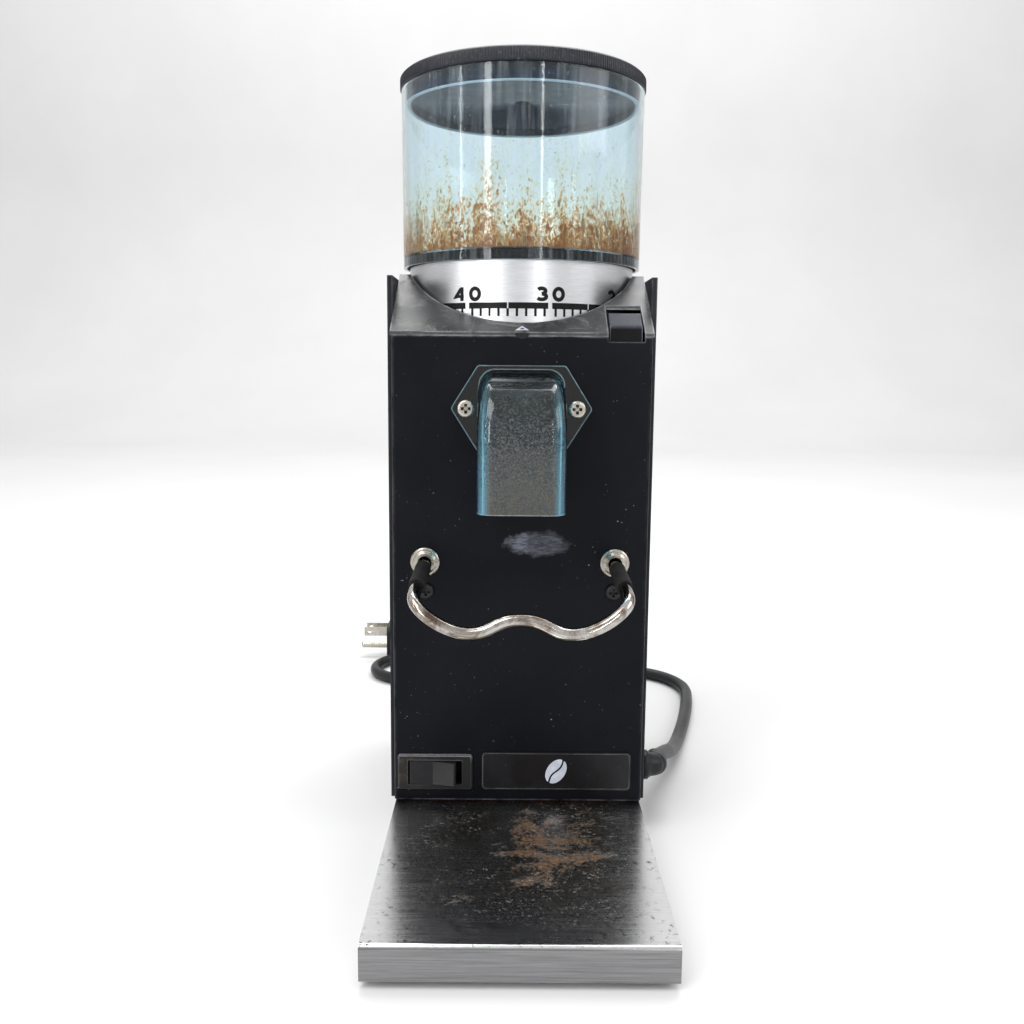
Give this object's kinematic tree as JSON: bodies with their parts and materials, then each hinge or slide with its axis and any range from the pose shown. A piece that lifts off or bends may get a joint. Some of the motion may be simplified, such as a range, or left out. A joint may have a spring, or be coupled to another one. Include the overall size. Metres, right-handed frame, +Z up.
{
  "type": "burr coffee grinder",
  "caption": "Doserless burr coffee grinder with clear hopper, stepped grind collar, chute, portafilter fork, drip tray and mains lead.",
  "frame": {"origin": "centre of the grinder's box at the underside of the feet, mains lead left out", "axes": "+Z up, -Y towards the user and the drip tray, +X to the viewer's right"},
  "size_m": [0.2305, 0.4665, 0.35],
  "materials": {
    "stainless": "brushed, stained",
    "steel": "plain",
    "nickel": "bright",
    "chrome": "polished",
    "casing": "satin black paint",
    "cover": "satin black paint, worn",
    "aluminium": "satin",
    "cast_aluminium": "as cast",
    "black_plastic": "moulded",
    "gloss_black": "gloss",
    "hopper_clear": "clear, oil stained",
    "chute_clear": "smoke blue, dusty",
    "rubber": "matt",
    "cord_rubber": "satin",
    "burr_steel": "ground",
    "copper": "enamelled",
    "lamination": "laminated",
    "brass": "plain",
    "grey_plastic": "moulded"
  },
  "bodies": {
    "housing": {"base_tray": "stainless", "rubber_feet": "rubber", "weld_nuts": "steel", "foot_screws": "steel", "front_panel": "casing", "body_shell": "casing", "shell_screws": "nickel", "top_cover": "cover", "name_plate": "gloss_black", "switch_bezel": "black_plastic", "switch_body": "black_plastic", "switch_terminals": "brass", "chute": "chute_clear", "chute_gasket": "rubber", "chute_screws": "nickel", "fork_rod": "chrome", "fork_sleeves": "rubber", "fork_washers": "nickel", "fork_nuts": "steel", "fork_side_screws": "black_plastic", "chassis_plate": "steel", "grinding_chamber": "cast_aluminium", "motor_upper_cap": "cast_aluminium", "motor_lower_cap": "cast_aluminium", "motor_stator": "lamination", "motor_windings": "copper", "motor_bolts": "steel", "bearing_outers": "burr_steel", "bearing_balls": "chrome", "lock_pin": "steel", "lock_bracket": "steel", "lock_spring": "steel", "capacitor": "grey_plastic", "capacitor_clip": "steel", "terminal_block": "grey_plastic", "cord_gland": "cord_rubber", "power_cord": "cord_rubber", "cord_coil": "cord_rubber", "cord_tail": "cord_rubber", "plug_body": "cord_rubber", "plug_blades": "nickel"},
    "rotor": {"motor_shaft": "steel", "motor_rotor": "lamination", "motor_fan": "grey_plastic", "bearing_inners": "burr_steel", "lower_burr_carrier": "brass", "lower_burr": "burr_steel", "lower_burr_screws": "steel", "carrier_nut": "steel"},
    "adjuster": {"upper_burr_carrier": "brass", "upper_burr": "burr_steel", "upper_burr_screws": "steel", "adjustment_collar": "aluminium", "collar_screws": "steel", "hopper": "hopper_clear", "hopper_ring": "rubber", "finger_guard": "black_plastic"},
    "lid": {"hopper_lid": "black_plastic"},
    "rocker": {"switch_rocker": "black_plastic"},
    "lever": {"lock_lever": "black_plastic"}
  },
  "joints": [
    {"name": "rotor_spin", "type": "hinge", "parent": "housing", "child": "rotor", "pos_m": [0, 0.0575, 0.12], "axis": [0, 0, 1], "continuous": true},
    {"name": "grind_adjust", "type": "hinge", "parent": "housing", "child": "adjuster", "pos_m": [0, 0.0575, 0.24], "axis": [0, 0, 1], "range_deg": [-133, 87]},
    {"name": "lid_lift", "type": "slide", "parent": "adjuster", "child": "lid", "axis": [0, 0, 1], "range_m": [0, 0.06]},
    {"name": "switch_rock", "type": "hinge", "parent": "housing", "child": "rocker", "pos_m": [-0.03815, 0, 0.03005], "axis": [0, 0, 1], "range_deg": [0, 16]},
    {"name": "lock_press", "type": "hinge", "parent": "housing", "child": "lever", "pos_m": [0.0453, 0.024, 0.222], "axis": [1, 0, 0], "range_deg": [0, 6], "stiffness_Nm_per_rad": 0.3, "springref_deg": -8.59, "deforming": ["lock_spring"]}
  ]
}
